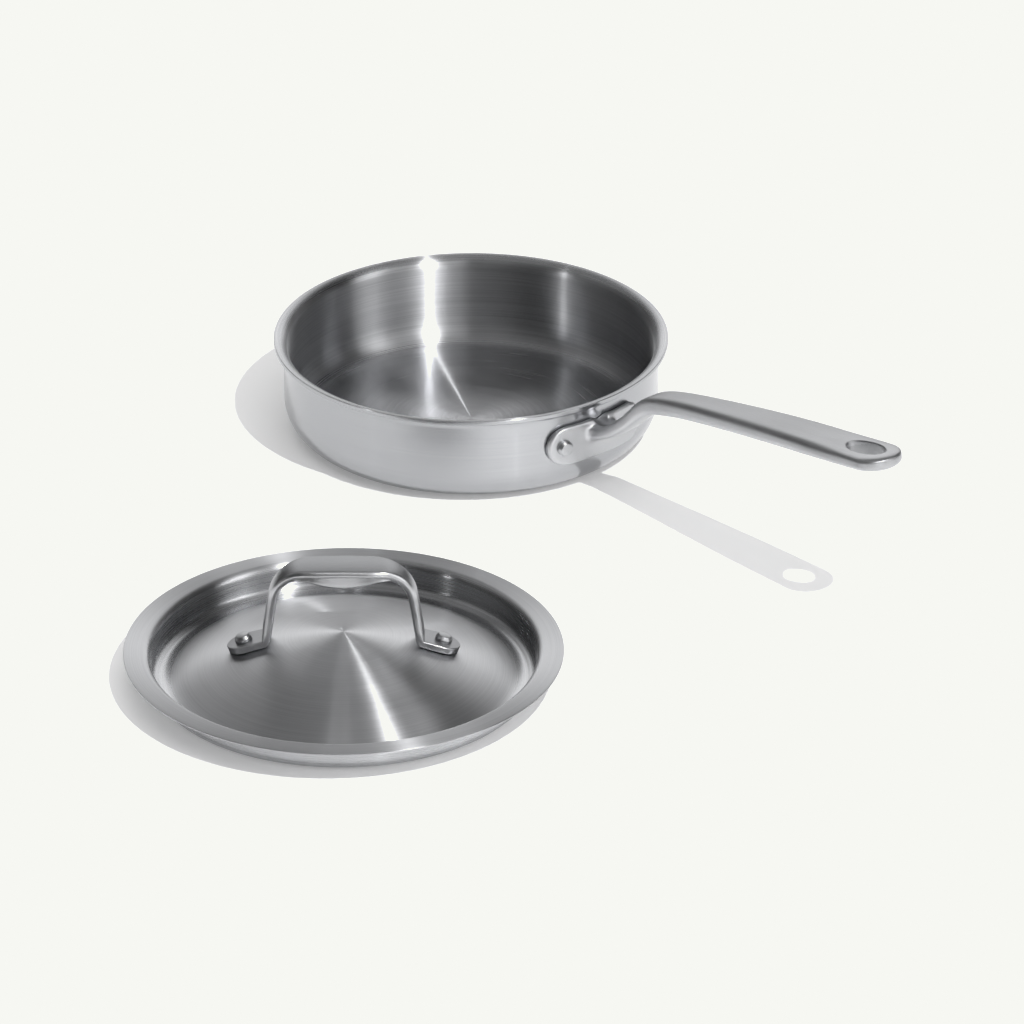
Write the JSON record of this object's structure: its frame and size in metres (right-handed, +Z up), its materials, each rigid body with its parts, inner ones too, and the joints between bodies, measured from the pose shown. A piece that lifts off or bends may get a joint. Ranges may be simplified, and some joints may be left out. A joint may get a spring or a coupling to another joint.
{
  "type": "saute pan with lid",
  "caption": "Stainless steel saute pan with straight walls, flared lip and long riveted handle, with its flanged, domed lid and strap handle lying beside it.",
  "frame": {"origin": "centre of the pan's flat base, on the surface that the pan and the lid stand on", "axes": "+X along the pan handle, +Z up, the lid lies on the -Y side of the handle"},
  "size_m": [0.4377, 0.4666, 0.1006],
  "materials": {
    "pan_steel": "fine circular brushing, satin",
    "handle_steel": "satin, brushed lengthways",
    "rivet_steel": "satin",
    "lid_steel": "fine circular brushing, satin"
  },
  "bodies": {
    "pan": {"pan_body": "pan_steel", "pan_handle": "handle_steel", "pan_rivet_left": "rivet_steel", "pan_rivet_right": "rivet_steel"},
    "lid": {"lid_shell": "lid_steel", "lid_handle": "handle_steel", "lid_rivet_left": "rivet_steel", "lid_rivet_right": "rivet_steel"}
  },
  "joints": [
    {"name": "lid_lift", "type": "slide", "parent": "pan", "child": "lid", "axis": [0, 0, 1], "range_m": [0, 0.15]}
  ]
}
